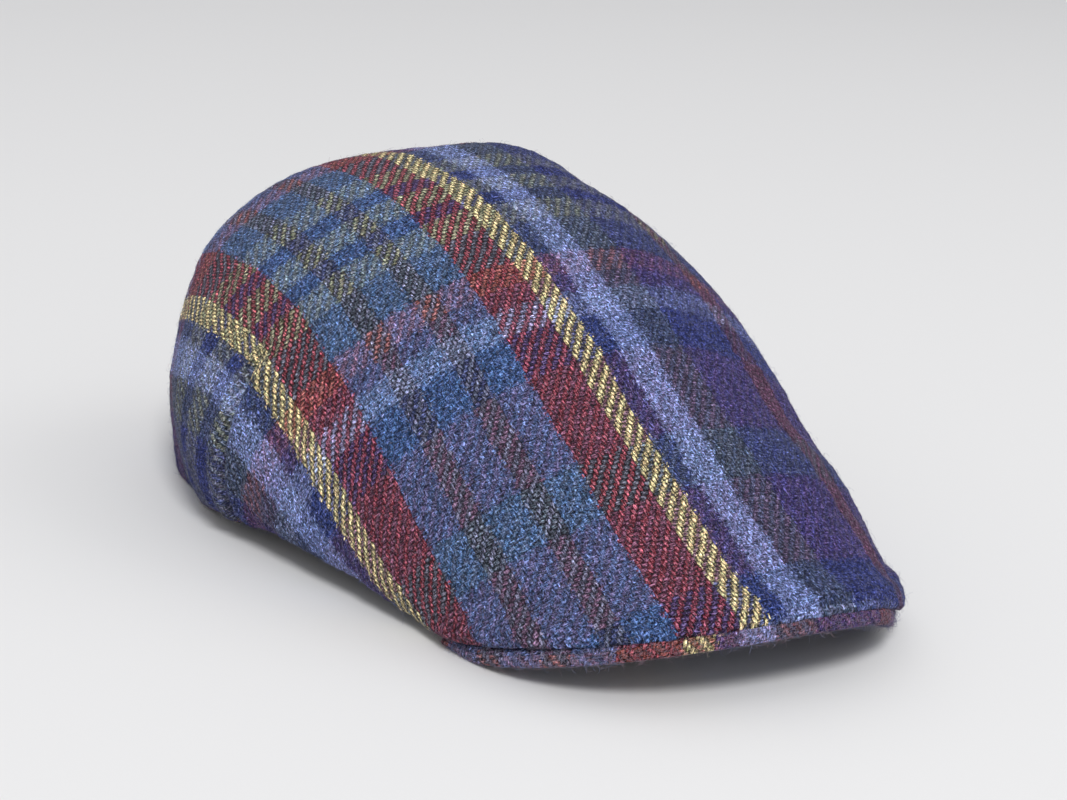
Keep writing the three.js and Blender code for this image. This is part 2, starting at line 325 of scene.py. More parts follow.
def crown_point(s, t):
    """Outside of the crown: s from the seam (0) to the back rim (1), t from -1 to 1 across."""
    s, t = np.broadcast_arrays(np.asarray(s, float), np.asarray(t, float))
    sine = np.sin(t * math.pi / 2)
    cosine = np.maximum(np.cos(t * math.pi / 2), 0)
    flat = 2 / section("square", s)
    forward = cosine**flat
    upward = cosine**(2 / section("arch", s))
    out = signed_power(sine, flat)
    high = forward**BULGE_HIGH
    out = out * (1 + section("bulge", s) * BULGE_GAIN * high * (1 - high) * np.abs(out))
    rim_y = section("rim_y", s)
    rim_z = np.maximum(section("rim_z", s), 0)
    point = np.stack([
        section("rim_x", s) * out,
        rim_y + (section("ridge_y", s) - rim_y) * forward,
        rim_z + (np.maximum(section("ridge_z", s), 0) - rim_z) * upward,
    ], axis=-1)
    fade = np.minimum(1, (1 - s) / FADE_BACK) * np.minimum(1, upward / FADE_SIDE)
    for along, across, span_along, span_across, move in PUFFS:
        share = fade * np.exp(-((s - along) / span_along)**2 - ((t - across) / span_across)**2)
        point = point + share[..., None] * np.array(move, float)
    point[..., 2] = np.maximum(point[..., 2], 0)
    return point


def lengths_along(points, axis):
    """Length from the first point of each line of a grid, along axis."""
    steps = np.linalg.norm(np.diff(points, axis=axis), axis=-1)
    shape = list(steps.shape)
    shape[axis] = 1
    return np.concatenate([np.zeros(shape), np.cumsum(steps, axis=axis)], axis=axis)


def at_shares(values, lengths, shares):
    """The values at these shares of a line's whole length."""
    return np.interp(shares * lengths[-1], lengths, values)


def split_shares(cells, folds):
    """Shares of a line: equal cells, with those at its ends and beside folds split finer."""
    beside = {fold + step for fold in folds for step in (-2, -1, 0, 1)}
    places = set(range(cells + 1))
    for cell in beside | {0, cells - 1}:
        places |= {cell + part / EDGE_SPLIT for part in range(EDGE_SPLIT)}
    return np.array(sorted(places)) / cells


class Grid:
    """The crown's smooth outer surface, cut at equal lengths along the ridge and across it."""

    def __init__(self):
        back_darts = (BACK_DART_COLUMN * FINER, (COLUMNS - BACK_DART_COLUMN) * FINER)
        self.row_share = split_shares(ROWS * FINER, [DART_ROW * FINER])
        self.column_share = split_shares(COLUMNS * FINER, back_darts)
        s_fine = np.linspace(0, 1, FINE + 1)
        t_fine = np.linspace(-1, 1, 2 * FINE + 1)
        self.ridge_length = lengths_along(crown_point(s_fine, 0), 0)
        self.s = at_shares(s_fine, self.ridge_length, self.row_share)
        lengths = lengths_along(crown_point(self.s[:, None], t_fine[None, :]), 1)
        self.t = np.array([at_shares(t_fine, row, self.column_share) for row in lengths])
        self.arch_length = lengths[:, -1]
        self.along = self.row_share * self.ridge_length[-1]
        from_rim = self.column_share[None, :] * self.arch_length[:, None]
        self.across = from_rim - lengths[:, FINE, None]
        self.points = crown_point(self.s[:, None], self.t)
        self.rows, self.columns = self.t.shape

    def coarse(self, values):
        """The rows and columns of a grid of values that the flattening uses."""
        wanted_rows = np.arange(ROWS + 1) / ROWS
        wanted_columns = np.arange(COLUMNS + 1) / COLUMNS
        rows = np.abs(self.row_share[:, None] - wanted_rows).argmin(axis=0)
        columns = np.abs(self.column_share[:, None] - wanted_columns).argmin(axis=0)
        return values[np.ix_(rows, columns)]


def grid_normals(points):
    """Normals of a grid of points, outward on the crown's."""
    along = np.gradient(points, axis=0)
    across = np.gradient(points, axis=1)
    return unit(np.cross(across, along))


def grid_quads(values):
    """The four corners of each cell of a grid, in order round the cell."""
    corners = (values[:-1, :-1], values[:-1, 1:], values[1:, 1:], values[1:, :-1])
    return np.stack(corners, axis=2)


# ---- the cloth's flat map ----

def laid_plaid(grid):
    """Where each point lies on the cloth if the plaid is laid straight over the crown."""
    s = grid.s[:, None]
    far = grid.across / CLOTH_FAR
    fan = CLOTH_FAN * np.clip(1 - s / CLOTH_FAN_REACH, 0, 1)**2 * far**2
    u = grid.across - CLOTH_CENTRE - CLOTH_DRIFT * (s - CLOTH_DRIFT_FROM) + fan
    behind = s - CLOTH_MIDDLE
    bow = CLOTH_BOW[0] + CLOTH_BOW[1] * behind + CLOTH_BOW[2] * behind**2
    skew = CLOTH_SKEW[0] + CLOTH_SKEW[1] * behind
    v = grid.along[:, None] - bow * far**2 - skew * far
    return np.stack([u, v], axis=-1)


def cut_quads():
    """Quads of the coarse grid, with the darts cut open, and the grid point of each vertex."""
    ids = np.arange((ROWS + 1) * (COLUMNS + 1)).reshape(ROWS + 1, -1)
    quads = grid_quads(ids)
    source = list(range(ids.size))

    def copy(vertex):
        source.append(vertex)
        return len(source) - 1

    for j in (*range(DART_DEPTH), *range(COLUMNS, COLUMNS - DART_DEPTH, -1)):
        twin = copy(ids[DART_ROW, j])
        if j < COLUMNS:
            quads[DART_ROW, j, 0] = twin
        if j > 0:
            quads[DART_ROW, j - 1, 1] = twin
    for j in (BACK_DART_COLUMN, COLUMNS - BACK_DART_COLUMN):
        for i in range(ROWS - BACK_DART_DEPTH + 1, ROWS + 1):
            twin = copy(ids[i, j])
            if i < ROWS:
                quads[i, j, 0] = twin
            quads[i - 1, j, 3] = twin
    return quads, np.array(source)


def corner_weights(corners):
    """Cotangents of flat triangles' angles."""
    weights = np.zeros(corners.shape[:2])
    for k in range(3):
        a = corners[:, (k + 1) % 3] - corners[:, k]
        b = corners[:, (k + 2) % 3] - corners[:, k]
        weights[:, k] = (a * b).sum(1) / np.abs(a[:, 0] * b[:, 1] - a[:, 1] * b[:, 0])
    return np.clip(weights, *COTANGENTS)


def laid_flat(points, triangles):
    """Each triangle by itself in the plane, as three corners."""
    first = points[triangles[:, 1]] - points[triangles[:, 0]]
    second = points[triangles[:, 2]] - points[triangles[:, 0]]
    axis = unit(first)
    side = np.cross(unit(np.cross(first, second)), axis)
    shape = np.zeros((len(triangles), 3, 2))
    shape[:, 1, 0] = np.linalg.norm(first, axis=1)
    shape[:, 2, 0] = (second * axis).sum(1)
    shape[:, 2, 1] = (second * side).sum(1)
    return shape


def best_turns(now, shape, weights):
    """The turn that takes each triangle's own shape closest to where it lies now."""
    match = np.zeros((len(shape), 2, 2))
    for k in range(3):
        a, b = (k + 1) % 3, (k + 2) % 3
        match += weights[:, k, None, None] * np.einsum(
            "ni,nj->nij", now[:, a] - now[:, b], shape[:, a] - shape[:, b])
    left, _, right = np.linalg.svd(match)
    mirrored = np.linalg.det(left @ right)
    usual = np.sign(np.median(mirrored))
    left[mirrored * usual < 0, :, 1] *= -1
    return left @ right


def unfold(points, triangles, start, pull):
    """Flattens the triangles with as little stretch as they allow, held to start by pull.

    Each round turns every triangle to fit where it lies, then solves for the points that
    suit them all, by conjugate gradients.
    """
    shape = laid_flat(points, triangles)
    weights = corner_weights(shape)
    heads = np.concatenate([triangles[:, (k + 1) % 3] for k in range(3)])
    tails = np.concatenate([triangles[:, (k + 2) % 3] for k in range(3)])
    edge = np.concatenate([weights[:, k] / 2 for k in range(3)])
    edge_shape = np.concatenate([shape[:, (k + 1) % 3] - shape[:, (k + 2) % 3] for k in range(3)])
    count = len(points)

    def spread(values):
        return np.bincount(heads, values, count) - np.bincount(tails, values, count)

    def apply(x):
        return spread(edge * (x[heads] - x[tails])) + pull * x

    diagonal = np.bincount(heads, edge, count) + np.bincount(tails, edge, count) + pull

    def solve(right, x):
        rest = right - apply(x)
        ready = rest / diagonal
        search = ready.copy()
        power = rest @ ready
        for _ in range(SOLVE_STEPS):
            pushed = apply(search)
            step = power / (search @ pushed)
            x = x + step * search
            rest = rest - step * pushed
            ready = rest / diagonal
            fresh = rest @ ready
            if fresh < SOLVE_CLOSE * (right @ right):
                break
            search = ready + search * (fresh / power)
            power = fresh
        return x

    flat = start.copy()
    for _ in range(UNFOLD_ROUNDS):
        turns = best_turns(flat[triangles], shape, weights)
        turned = np.einsum("nij,nj->ni", np.tile(turns, (3, 1, 1)), edge_shape)
        for axis in range(2):
            wanted = spread(edge * turned[:, axis]) + pull * start[:, axis]
            flat[:, axis] = solve(wanted, flat[:, axis])
    return flat


def flattened_corners(grid):
    """Cloth coordinates of each coarse quad's four corners."""
    laid = grid.coarse(laid_plaid(grid))
    points = grid.coarse(grid.points)
    s = grid.coarse(np.repeat(grid.s[:, None], grid.columns, axis=1))
    t = grid.coarse(grid.t)
    quads, source = cut_quads()
    cells = quads.reshape(-1, 4)
    triangles = np.concatenate([cells[:, [0, 1, 2]], cells[:, [0, 2, 3]]])
    area = grid.ridge_length[-1] / ROWS * grid.arch_length.mean() / COLUMNS
    hold = bump(np.maximum(s - HOLD_BACK, 0), HOLD_BACK_FADE)
    hold = hold * bump(np.maximum(t - HOLD_LEFT, 0), HOLD_LEFT_FADE)
    pull = PULL * area * (hold + HOLD_LEAST).reshape(-1)[source]
    flat = unfold(points.reshape(-1, 3)[source], triangles, laid.reshape(-1, 2)[source], pull)
    return flat[quads]


def cloth_corners(grid):
    """Cloth coordinates of each fine quad's four corners: rows, columns, 4, 2."""
    rows, columns = grid.row_share, grid.column_share
    middle_row = (rows[1:] + rows[:-1]) / 2 * ROWS
    middle_column = (columns[1:] + columns[:-1]) / 2 * COLUMNS
    at_row = np.minimum(middle_row.astype(int), ROWS - 1)
    at_column = np.minimum(middle_column.astype(int), COLUMNS - 1)
    held = flattened_corners(grid)[np.ix_(at_row, at_column)]
    result = np.zeros((len(at_row), len(at_column), 4, 2))
    for corner, (down, right) in enumerate(((0, 0), (0, 1), (1, 1), (1, 0))):
        a = (rows[down: down + len(at_row)] * ROWS - at_row)[:, None, None]
        b = (columns[right: right + len(at_column)] * COLUMNS - at_column)[None, :, None]
        result[:, :, corner] = (held[:, :, 0] * (1 - a) * (1 - b) + held[:, :, 1] * (1 - a) * b
                                + held[:, :, 2] * a * b + held[:, :, 3] * a * (1 - b))
    result[..., 0] += dart_jog(grid, at_row >= DART_ROW)
    return result


def dart_jog(grid, behind):
    """How far the wedges sewn into the side darts shift the plaid, at each fine quad's corners."""
    gap = (grid.row_share - DART_ROW / ROWS) * grid.ridge_length[-1]
    along = np.exp(-np.maximum(gap, 0) / DART_JOG_LENGTH)
    depth = DART_DEPTH / COLUMNS
    right = np.clip(1 - grid.column_share / depth, 0, 1)
    left = np.clip(1 - (1 - grid.column_share) / depth, 0, 1)
    jog = DART_JOG * along[:, None] * (np.sqrt(left) - np.sqrt(right))
    return grid_quads(jog) * behind[:, None, None]


# ---- the crown ----

def waves(points, draws, count, height, shortest, longest):
    """The unevenness of soft cloth, as waves through space."""
    total = np.zeros(points.shape[:-1])
    for _ in range(count):
        direction = unit(draws.normal(size=3))
        length = draws.uniform(shortest, longest)
        phase = draws.uniform(0, 2 * math.pi)
        total += height * np.sin(points @ direction * (2 * math.pi / length) + phase)
    return total


def dart_relief(aside, left_of_dart):
    """Height at this distance from a dart's line, with this share of the dart still to run."""
    fade = np.sqrt(np.clip(left_of_dart / DART_TIP, 0, 1))
    away = np.abs(aside)
    puff = DART_PUFF * bump(away - DART_PUFF_AWAY, DART_PUFF_WIDTH)
    return fade * (puff - DART_FOLD * bump(away, DART_FOLD_WIDTH))


def crown_relief(grid, front, draws):
    """How far the cloth stands out of the smooth surface. front is the way from the seam."""
    freed = np.clip(front / SLOW_WAVES_FROM, 0, 1)
    relief = waves(grid.points, draws, *SLOW_WAVES) * freed
    relief += waves(grid.points, draws, *SHORT_WAVES)
    for centre, spread, height in SWELLS:
        relief += height * bump(np.linalg.norm(grid.points - np.array(centre), axis=-1), spread)
    tips = np.clip((1 - np.abs(grid.t)) / SEAM_PUFF_TIPS, 0, 1)
    relief += SEAM_PUFF * bump(front - SEAM_PUFF_AWAY, SEAM_PUFF_WIDTH) * tips

    row = np.abs(grid.row_share - DART_ROW / ROWS).argmin()
    depth = DART_DEPTH / COLUMNS
    for share in (grid.column_share, 1 - grid.column_share):
        relief += dart_relief(front - front[row], 1 - share[None, :] / depth)
    across = lengths_along(grid.points, 1)
    depth = BACK_DART_DEPTH / ROWS
    left_of_dart = 1 - (1 - grid.row_share[:, None]) / depth
    for column in (BACK_DART_COLUMN, COLUMNS - BACK_DART_COLUMN):
        here = np.abs(grid.column_share - column / COLUMNS).argmin()
        relief += dart_relief(across - across[:, here: here + 1], left_of_dart)
    return relief


def new_object(name, data):
    thing = bpy.data.objects.new(name, data)
    bpy.context.scene.collection.objects.link(thing)
    return thing


def make_mesh(name, points, faces, face_uvs, material):
    """A smooth mesh from points and, if it has any, cloth coordinates in millimetres."""
    mesh = bpy.data.meshes.new(name)
    mesh.from_pydata((points * MM).tolist(), [], np.asarray(faces).tolist())
    if face_uvs is not None:
        layer = mesh.uv_layers.new(name="Cloth")
        layer.data.foreach_set("uv", (np.ravel(face_uvs) * MM).astype(np.float32))
    mesh.shade_smooth()
    mesh.materials.append(material)
    return new_object(name, mesh)


def crown_skins(grid):
    """The crown's two skins, which meet round its edges in a rounded fold."""
    front = lengths_along(grid.points, 0)
    back = front[-1:] - front
    right = lengths_along(grid.points, 1)
    left = right[:, -1:] - right
    edge = np.minimum(np.minimum(front, back), np.minimum(right, left))
    relief = crown_relief(grid, front, np.random.default_rng(SEED))
    outer = grid.points + grid_normals(grid.points) * relief[..., None]
    normals = grid_normals(outer)
    radius = WALL / 2
    into = np.clip(radius - edge, 0, radius)
    roll = radius - np.sqrt(np.maximum(radius**2 - into**2, 0))
    outside = outer - normals * roll[..., None]
    inside = outer - normals * (WALL - roll)[..., None]
    for skin in (outside, inside):
        skin[..., 2] = np.maximum(skin[..., 2], 0)
    return outside, inside


def build_crown(grid, material):
    """The crown's cloth. Gives the piece, and its outer skin and the cloth, for the fibres."""
    outside, inside = crown_skins(grid)
    rows, columns = grid.rows, grid.columns
    ids = np.arange(rows * columns).reshape(rows, columns)
    inner_ids = ids.copy()
    count = (rows - 2) * (columns - 2)
    inner_ids[1:-1, 1:-1] = rows * columns + np.arange(count).reshape(rows - 2, columns - 2)
    points = np.concatenate([outside.reshape(-1, 3), inside[1:-1, 1:-1].reshape(-1, 3)])
    outer_faces = grid_quads(ids).reshape(-1, 4)
    inner_faces = grid_quads(inner_ids).reshape(-1, 4)[:, ::-1]
    corners = cloth_corners(grid)
    uvs = corners.reshape(-1, 4, 2)
    faces = np.concatenate([outer_faces, inner_faces])
    face_uvs = np.concatenate([uvs, uvs[:, ::-1]])
    piece = make_mesh("crown_cloth", points, faces, face_uvs, material)
    return piece, outside, corners.mean(axis=2)


# ---- the peak ----

def peak_section(front, edge_in, inner, cosine, tuck):
    """One closed section of the peak, from the inner edge along the top and back underneath."""
    depth = np.linalg.norm(inner - front)
    shelf = min(PEAK_SHELF, depth * PEAK_SHELF_SHARE)
    top = front[2] - SEAM_GAP
    squash = min(top / PEAK_EDGE, 1)

    def edge_point(inward, drop):
        point = front + edge_in * inward
        point[2] = max(top - drop * squash, 0)
        return point

    def inner_point(share, drop):
        point = edge_point(shelf, 0) * (1 - share) + inner * share
        point[2] = max(top + PEAK_INNER_RISE * cosine * share - drop * squash, 0)
        return point

    points = [inner_point(share, 0) for share in PEAK_SHARES[::-1]]
    points.append(edge_point(shelf, 0))
    for angle in np.linspace(0, math.pi, PEAK_NOSE):
        drop = PEAK_EDGE / 2 * (1 - signed_power(math.cos(angle), NOSE_BLUNT))
        inward = NOSE_SET + tuck + NOSE_DEPTH * (1 - math.sin(angle)**NOSE_ROUND)
        points.append(edge_point(inward, drop))
    points.append(edge_point(shelf, PEAK_EDGE))
    for share in PEAK_SHARES:
        points.append(inner_point(share, PEAK_EDGE + (PEAK_INNER - PEAK_EDGE) * share))
    return np.array(points)


def peak_sections(grid):
    """The peak's sections: where they stand along the seam, the seam there and their points."""
    t = np.interp(np.linspace(0, 1, PEAK_STATIONS + 1), grid.column_share, grid.t[0])
    t = np.unique(np.clip(t, -PEAK_TIP, PEAK_TIP))
    front = crown_point(np.zeros_like(t), t)
    seam_normals = grid_normals(grid.points)[0]
    normals = np.stack([np.interp(t, grid.t[0], axis) for axis in seam_normals.T], axis=-1)
    level = unit(-normals * np.array([1, 1, 0]))
    sine, cosine = np.sin(t * math.pi / 2), np.cos(t * math.pi / 2)
    flat = 2 / SECTIONS[0, SECTION_COLUMNS.index("square")]
    inner = np.stack([
        PEAK_INNER_WIDTH * signed_power(sine, flat),
        PEAK_INNER_TIP_Y + (PEAK_INNER_MID_Y - PEAK_INNER_TIP_Y) * cosine**flat,
        front[:, 2],
    ], axis=-1)
    tuck = PEAK_TUCK * bump(t - PEAK_TUCK_AT, PEAK_TUCK_WIDTH)
    loops = map(peak_section, front, level, inner, cosine, tuck)
    return t, front, np.array(list(loops))


def build_peak(grid, seam_u, material):
    """The board in its tweed. seam_u is the crown's cloth coordinate along the seam.

    Gives the piece, and its front edge with the cloth there, for the fibres.
    """
    t, front, loops = peak_sections(grid)
    stations, loop = loops.shape[:2]
    ids = np.arange(stations * loop).reshape(stations, loop)
    faces = list(grid_quads(np.concatenate([ids, ids[:, :1]], axis=1)).reshape(-1, 4))

    u = np.interp(t, grid.t[0], seam_u) + PEAK_CLOTH_SHIFT
    round_length = lengths_along(np.concatenate([loops, loops[:, :1]], axis=1), 1)
    v = PEAK_CLOTH_EDGE + PEAK_CLOTH_LEAN * front[:, :1] + round_length
    v = v - round_length[:, PEAK_MIDDLE, None]
    uv = np.stack([np.repeat(u[:, None], loop + 1, axis=1), v], axis=-1)
    face_uvs = grid_quads(uv)
    cloth = face_uvs.mean(axis=2)
    face_uvs = list(face_uvs.reshape(-1, 4, 2))
    # The tips: bands of quads across each end's section, from its top side to its underside.
    for station, flip in ((0, False), (stations - 1, True)):
        for k in range(loop // 2 - 1):
            across = (k, k + 1, loop - 2 - k, loop - 1 - k)
            cap = [(station, point) for point in (across if flip else across[::-1])]
            faces.append([ids[c] for c in cap])
            face_uvs.append(np.array([uv[c] for c in cap]))
    piece = make_mesh("peak_cloth", loops.reshape(-1, 3), faces, face_uvs, material)
    return piece, loops[:, PEAK_FIBRES], cloth[:, PEAK_FIBRES]


# ---- loose fibres ----

def yarn_numbers(place, half, bands):
    """Which yarn lies at each place across the cloth, as its number in YARNS."""
    turned = half - np.abs(place % (2 * half) - half)
    numbers = np.array([list(YARNS).index(yarn) for _, yarn in bands])
    ends = np.array([end for end, _ in bands])
    return numbers[np.minimum(np.searchsorted(ends, turned), len(bands) - 1)]


def fibre_roots(skin, count, draws):
    """Points spread evenly over a grid's area, and the row and column of the cell of each."""
    rows, columns = skin.shape[:2]
    down = lengths_along(skin, 0).mean(axis=1)
    across = lengths_along(skin, 1).mean(axis=0)
    row = np.interp(draws.uniform(0, down[-1], count), down, np.arange(rows))
    column = np.interp(draws.uniform(0, across[-1], count), across, np.arange(columns))
    row = row.clip(0.5, rows - 1.5)
    column = column.clip(0.5, columns - 1.5)
    i, j = row.astype(int), column.astype(int)
    a, b = (row - i)[:, None], (column - j)[:, None]
    roots = ((skin[i, j] * (1 - b) + skin[i, j + 1] * b) * (1 - a)
             + (skin[i + 1, j] * (1 - b) + skin[i + 1, j + 1] * b) * a)
    return roots, i, j


def fibre_points(roots, normals, kind, draws):
    """The points of each fibre: three round it at each station, and its tip."""
    each = (len(roots), 1)
    turn = draws.uniform(0, 2 * math.pi, each)
    level = unit(np.cross(normals, draws.normal(size=3)))
    forward = level * np.cos(turn) + np.cross(normals, level) * np.sin(turn)
    sideways = np.cross(normals, forward)
    length = draws.uniform(*kind["length"], each)
    standing = draws.uniform(0, 1, each)**kind["lying"]
    least, most = kind["lift"]
    lift = least + (most - least) * standing
    curl = draws.normal(0, kind["curl"], each) * length
    swing = draws.uniform(*FIBRE_SWING, each) * math.pi

    def middle(share):
        return (roots + forward * length * share * (1 - standing / 2)
                + sideways * curl * np.sin(share * swing)
                + normals * (lift * math.sin(share * FIBRE_ARC) - FIBRE_ROOT))

    points = []
    for station in range(kind["stations"]):
        share = station / kind["stations"]
        radius = kind["radius"] * (1 - share * FIBRE_TAPER)
        for corner in range(FIBRE_SIDES):
            angle = corner * 2 * math.pi / FIBRE_SIDES
            around = sideways * math.cos(angle) + normals * math.sin(angle)
            points.append(middle(share) + around * radius)
    points.append(middle(1))
    return np.stack(points, axis=1)


def fibre_faces(stations):
    """The faces of one fibre: its closed root, its sides and its tip."""
    faces = [(2, 1, 0)]
    tip = stations * FIBRE_SIDES
    for here in range(tip):
        station, corner = divmod(here, FIBRE_SIDES)
        after = station * FIBRE_SIDES + (corner + 1) % FIBRE_SIDES
        if station < stations - 1:
            above = here + FIBRE_SIDES
            faces += [(here, after, after + FIBRE_SIDES), (here, after + FIBRE_SIDES, above)]
        else:
            faces.append((here, after, tip))
    return np.array(faces)


def build_fibres(name, skin, cloth, count, kind, materials, draws):
    """Loose fibres on a grid of points, each a thin closed sliver in its yarn's colour."""
    roots, i, j = fibre_roots(skin, count, draws)
    points = fibre_points(roots, grid_normals(skin)[i, j], kind, draws)
    faces = fibre_faces(kind["stations"])
    first = np.arange(count)[:, None, None] * points.shape[1]
    points = points.reshape(-1, 3)
    points[:, 2] = np.maximum(points[:, 2], 0)
    piece = make_mesh(name, points, (first + faces).reshape(-1, 3), None, materials[0])
    for material in materials[1:]:
        piece.data.materials.append(material)
    place = cloth[i, j]
    ends = yarn_numbers(place[:, 0], WARP_HALF, WARP)
    picks = yarn_numbers(place[:, 1] - WEFT_PIVOT, WEFT_HALF, WEFT)
    yarns = np.where(draws.uniform(size=count) < FIBRE_ENDS, ends, picks)
    of_faces = np.repeat(yarns, len(faces)).astype(np.int32)
    piece.data.polygons.foreach_set("material_index", of_faces)
    return piece


# ---- materials ----

def linear(red, green, blue):
    """A colour given in sRGB, 0 to 255, as a shader wants it."""
    shares = (value / 255 for value in (red, green, blue))
    return (*((c / 12.92 if c <= 0.04045 else ((c + 0.055) / 1.055)**2.4) for c in shares), 1)


def set_inputs(node, values):
    for name, value in values.items():
        node.inputs[name].default_value = value


class Field:
    """A number at each point of a surface: a node's output, with arithmetic."""

    def __init__(self, tree, socket):
        self.tree = tree
        self.socket = socket

    def apply(self, operation, *others):
        return self.work_out(operation, self, *others)

    def work_out(self, operation, *values):
        """An operation on fields and numbers."""
        node = self.tree.nodes.new("ShaderNodeMath")
        node.operation = operation
        for place, value in enumerate(values):
            if isinstance(value, Field):
                self.tree.links.new(value.socket, node.inputs[place])
            else:
                node.inputs[place].default_value = value
        return Field(self.tree, node.outputs[0])

    def __rsub__(self, other):
        return self.work_out("SUBTRACT", other, self)

    def __rpow__(self, other):
        return self.work_out("POWER", other, self)

    __add__ = partialmethod(apply, "ADD")
    __sub__ = partialmethod(apply, "SUBTRACT")
    __mul__ = partialmethod(apply, "MULTIPLY")
    __truediv__ = partialmethod(apply, "DIVIDE")
    __pow__ = partialmethod(apply, "POWER")
    floor = partialmethod(apply, "FLOOR")
    cosine = partialmethod(apply, "COSINE")
    absolute = partialmethod(apply, "ABSOLUTE")
    ping_pong = partialmethod(apply, "PINGPONG")
    most = partialmethod(apply, "MAXIMUM")
    least = partialmethod(apply, "MINIMUM")

    def between(self, low, high):
        """0 below low, 1 above high and smooth between them."""
        node = self.tree.nodes.new("ShaderNodeMapRange")
        node.interpolation_type = "SMOOTHSTEP"
        self.tree.links.new(self.socket, node.inputs["Value"])
        set_inputs(node, {"From Min": low, "From Max": high})
        return Field(self.tree, node.outputs["Result"])

    def centred(self):
        """A noise, from -0.5 to 0.5."""
        return self - 0.5

    def texture(self, kind, other, layer, settings):
        """A texture in space, where this field, another and layer are the place."""
        place = self.tree.nodes.new("ShaderNodeCombineXYZ")
        self.tree.links.new(self.socket, place.inputs[0])
        self.tree.links.new(other.socket, place.inputs[1])
        place.inputs[2].default_value = layer
        node = self.tree.nodes.new(kind)
        self.tree.links.new(place.outputs[0], node.inputs["Vector"])
        set_inputs(node, settings)
        return Field(self.tree, node.outputs[0])

    def noise(self, other, layer, detail, rough, twist):
        """Noise over the plane of this field and another, from 0 to 1."""
        settings = {"Scale": 1, "Detail": detail, "Roughness": rough, "Distortion": twist}
        return self.texture("ShaderNodeTexNoise", other, layer, settings)

    def dice(self, other, layer):
        """A number from 0 to 1 for each pair of whole numbers."""
        return self.texture("ShaderNodeTexWhiteNoise", other, layer, {})


def mix(tree, share, first, second, blend="MIX"):
    """Mixes two colours, given or from sockets, by a field or a number."""
    node = tree.nodes.new("ShaderNodeMix")
    node.data_type = "RGBA"
    node.blend_type = blend
    colours = [s for s in node.inputs if s.type == "RGBA"]
    for socket, value in zip((node.inputs[0], *colours), (share, first, second)):
        value = value.socket if isinstance(value, Field) else value
        if isinstance(value, bpy.types.NodeSocket):
            tree.links.new(value, socket)
        else:
            socket.default_value = value
    return next(s for s in node.outputs if s.type == "RGBA")


def sett(tree, place, half, bands):
    """Colour and crispness of the yarn at a place in the half repeat, which starts at 0."""
    node = tree.nodes.new("ShaderNodeValToRGB")
    ramp = node.color_ramp
    ramp.interpolation = "CONSTANT"
    start = 0
    for number, (end, yarn) in enumerate(bands):
        stop = ramp.elements[0] if number == 0 else ramp.elements.new(start / half)
        stop.color = (*linear(*YARNS[yarn][:3])[:3], YARNS[yarn][3])
        start = end
    ramp.elements[-1].color = stop.color
    tree.links.new((place / half).socket, node.inputs[0])
    return node.outputs[0], Field(tree, node.outputs[1])


YarnSet = namedtuple("YarnSet", "number float_number top")


def yarn_set(place, across, shift):
    """The warp's or the weft's yarn and float here, and its height.

    place counts the set's own yarns, and across the yarns that cross them.
    """
    number = place.floor()
    side = (place - number) * 2 - 1
    phase = (across - number + shift) / TWILL_REPEAT
    float_number = phase.floor()
    rise = (((phase - float_number) * TWILL_REPEAT - 1) * (math.pi / 2)).cosine()
    roundness = (1 - side * side).most(0) ** 0.5
    return YarnSet(number, float_number, rise * FLOAT_RISE + roundness * YARN_RISE)


def yarn_light(fibre, strands, yarns, dice, contrast):
    """How light a yarn is painted here: highlights on its fibres, shade between its strands and its
    float's own painted shade.
    """
    strand = strands.cosine() * STRAND_LIGHT
    shade = yarns.number.dice(yarns.float_number, dice) * FLOAT_SHADES + FLOAT_DARKEST
    return (contrast ** (fibre.centred() + strand)) * shade


def wool_colour(tree, noise, dye, shade):
    """The dyed wool with its painted shade, mottled, with painted highlights on the fibres and fine
    pale hairs.
    """
    heather = noise["heather"].centred()
    tint = tree.nodes.new("ShaderNodeCombineColor")
    for socket, lean in zip(tint.inputs, HEATHER):
        tree.links.new((shade * (heather * lean + 1)).socket, socket)
    colour = mix(tree, 1.0, dye, tint.outputs[0], "MULTIPLY")
    hair = (1 - (noise["hair"] * 2 - 1).absolute()).between(*HAIR_RIDGE)
    # Painted highlights where the painted light is brightest, with the fine pale hairs.
    pale = ((shade - HIGHLIGHT_FROM) * HIGHLIGHT_GAIN).most(0).least(HIGHLIGHT_MOST) + hair * HAIR_PALE
    return mix(tree, pale, colour, linear(*HIGHLIGHT_AND_HAIR_COLOUR))


def wool_shader(tree, colour, relief):
    """Rough wool of this colour, with this relief in units of RELIEF_DEPTH."""
    shader = tree.nodes.new("ShaderNodeBsdfPrincipled")
    set_inputs(shader, {
        "Roughness": WOOL_ROUGH, "Specular IOR Level": WOOL_SPECULAR, "Sheen Weight": SHEEN,
        "Sheen Roughness": SHEEN_ROUGH, "Sheen Tint": linear(*SHEEN_COLOUR),
    })
    tree.links.new(colour, shader.inputs["Base Color"])
    bumps = tree.nodes.new("ShaderNodeBump")
    set_inputs(bumps, {"Strength": 1, "Distance": RELIEF_DEPTH * MM})
    tree.links.new(relief.socket, bumps.inputs["Height"])
    tree.links.new(bumps.outputs[0], shader.inputs["Normal"])
    output = tree.nodes.new("ShaderNodeOutputMaterial")
    tree.links.new(shader.outputs[0], output.inputs[0])


